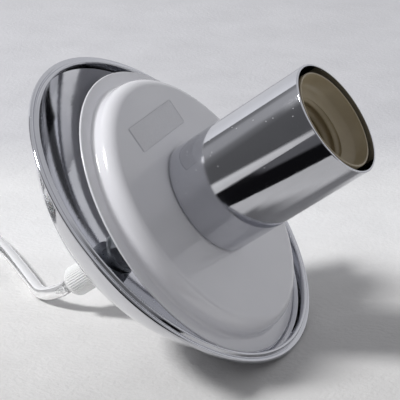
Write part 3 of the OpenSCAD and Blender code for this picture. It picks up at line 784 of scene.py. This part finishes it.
# a lathe outline with the radius less depth (0.5 - 0.5 cos(flutes t))^1.5 times each point's share
def flutedSurface(name, profile, share):
    sides = grip["flutes"] * 8
    t = np.linspace(0, 2 * math.pi, sides, endpoint=False)[:, None]
    groove = (0.5 - 0.5 * np.cos(grip["flutes"] * t)) ** 1.5
    r = profile[None, :, 0] - grip["fluteDepth"] * groove * np.asarray(share)[None, :]
    s = np.tile(profile[:, 1], (sides, 1))
    uv = lambda a, b: np.stack([a / sides, profile[b % len(profile), 1] * 0.01], -1)
    grid = np.stack([r * np.cos(t), r * np.sin(t), s], -1)
    return gridMesh(name, onStem(grid), closeU=True, closeV=True, uv=uv)


# rounded end, wall and bevel outside, then the hollow back to the hole; the flutes fade in over the rounding
def gripNutSurface():
    low, high = grip["nutS"]
    r, edge, hollow = grip["nutR"], grip["nutRound"], low + grip["nutFloor"]
    outside = arcPoints(r - edge, low + edge, edge, -90, 0, 14)
    wall = np.stack([np.full(12, r), np.linspace(low + edge + 0.5, high - grip["bevel"], 12)], -1)
    profile = closedProfile([[grip["holeR"], low]], outside, wall, [[r - 0.3, high], [grip["wallIn"], high]],
                            [[grip["wallIn"], hollow], [grip["holeR"], hollow]])
    share = [0] + np.clip(np.linspace(-0.4, 1, 14), 0, 1).tolist() + [1] * 12 + [0.4, 0, 0, 0]
    return flutedSurface("grip_nut_fluted", profile, share)


# the neck, the fluted wall with its bevels, then the hole on the stem, the waist and the neck's hollow
def gripBodySurface():
    low, high = grip["bodyS"]
    r, bevel, neckIn, stemIn, waistIn = [grip[k] for k in ("bodyR", "bevel", "neckIn", "stemIn", "waistIn")]
    waistLow, waistHigh = low + grip["waistS"][0], low + grip["waistS"][1]
    wall = np.stack([np.full(10, r), np.linspace(low + bevel, high - bevel, 10)], -1)
    profile = closedProfile(
        [[neckIn, grip["neckS"]], [grip["neckR"], grip["neckS"]], [grip["neckR"], low], [r - bevel, low]],
        wall,
        [[r - bevel, high], [stemIn, high], [stemIn, waistHigh], [waistIn, waistHigh], [waistIn, waistLow],
         [neckIn, waistLow]])
    share = [0, 0, 0, 0.3] + [0.8] * 9 + [0.3] + [0] * 6
    return flutedSurface("grip_body_fluted", profile, share)


addPiece("cord_grip_nut", gripNutSurface(), "grip_nut", polycarbonateClear, ("grip_nut",),
         sharp=50)
addPiece("cord_grip_body", gripBodySurface(), "lamp", polycarbonateClear, ("grip_body",),
         sharp=50)

# label: a bare film with rounded corners
label = {"at": (-33.5, -1.0), "size": (10.5, 40.0), "thick": 0.12, "bevel": 0.02, "round": 0.9}


# rings of a rounded rectangle: a wall from the plate to the bevelled top, then inwards. The map is a place
# from 0 to 1 across and along the label
def labelSurface():
    half, corner, top = np.array(label["size"]) / 2, label["round"], label["thick"]
    edge = np.concatenate([
        arcPoints(sx * (half[0] - corner), sy * (half[1] - corner), corner, a, a + 90, 6)
        for sx, sy, a in ((1, 1, 0), (-1, 1, 90), (-1, -1, 180), (1, -1, 270))])
    rings = [(edge, 0.0), (edge, top - label["bevel"]), (edge * (1 - label["bevel"] / half), top),
             (edge * 0.5, top), (edge * 1e-3, top)]
    grid = np.stack([
        np.concatenate([ring + np.array(label["at"]), np.full((len(ring), 1), z)], 1) for ring, z in rings])
    scale = np.array([1, 1, 1, 0.5, 0.0])
    uv = lambda a, b: 0.5 + 0.5 * (edge / half)[b % len(edge)] * scale[a][..., None]
    return gridMesh("label_film_bare", onStem(grid), closeV=True, caps=True, uv=uv)


addPiece("bare_label", labelSurface(), "lamp", filmPale, ("blank_label",))

# ties: straps round the coil at two places, each a rounded loop
ties = {"angles": (150.0, 330.0), "thick": 0.45, "wide": 3.0, "play": 0.3, "round": 2.4}


# the loop is a rounded rectangle in the plane of the coil's radius and z, its band stepped from inside to
# outside and turned to the tie's angle
def tieSurface(angle):
    turns = np.arange(0, flex["turns"] + 1e-6, 1 / 12)
    here = turns[np.abs((flex["from"] + 360 * turns - angle + 180) % 360 - 180) < 1]
    radii = np.hypot(*(coilPoint(here)[:, :2] - np.array(flex["coilAt"])).T)
    inside = radii.min() - flexHalf - ties["play"]
    outside = radii.max() + flexHalf + ties["play"]
    low, high = ties["thick"], flex["lift"] + flex["layer"] + flex["diameter"] + ties["play"]
    loops = []
    corner = ties["round"]
    box = [(outside - corner, high - corner, 0), (inside + corner, high - corner, 90),
           (inside + corner, low + corner, 180), (outside - corner, low + corner, 270)]
    for step, width in ((0, 1), (0, -1), (ties["thick"], -1), (ties["thick"], 1)):
        loop = np.concatenate([arcPoints(cx, cz, corner + step, a, a + 90, 8) for cx, cz, a in box])
        loops.append(np.stack([loop[:, 0], np.full(len(loop), width * ties["wide"] / 2), loop[:, 1]], -1))
    r, wide, z = np.moveaxis(np.stack(loops, 1), -1, 0)
    c, n = math.cos(math.radians(angle)), math.sin(math.radians(angle))
    grid = np.stack([r * c - wide * n + flex["coilAt"][0], r * n + wide * c + flex["coilAt"][1], z], -1)
    return gridMesh("tie_strap_" + str(int(angle)), onTable(grid), closeU=True, closeV=True)


tieStraps = [
    addPiece("tie_strap_" + str(int(angle)), tieSurface(angle), "lamp", nylonTie,
             ("coil_ties",))
    for angle in ties["angles"]]
print("grip, label and ties made")

# the nodes that stay as they are take their finish
finishes = (
    (phenolicCream, ("holder_cap",)),
    (ceramicDry, ("contact_block",)),
    (brassTurned, ("centre_contact", "side_contact", "live_terminal", "neutral_terminal",
                   "connector_barrels")),
    (steelZinc, ("contact_pins", "terminal_screws", "cap_grub_screw", "stem", "tooth_washer", "plate_nut",
                 "dish_stop_nut", "dish_stop_washer", "connector_screws")),
    (nylonWhite, ("dish_washer", "grip_ring", "connector_body")),
    (polycarbonateClear, ("grip_collet",)),
    (vinylClear, ("inner_flex",)),
    (coreTinned, ("live_core", "neutral_core", "live_tail_core", "neutral_tail_core")))
for material, nodeNames in finishes:
    for nodeName in nodeNames:
        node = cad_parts[nodeName]
        node.data.materials.clear()
        node.data.materials.append(material)

print("all pieces placed")
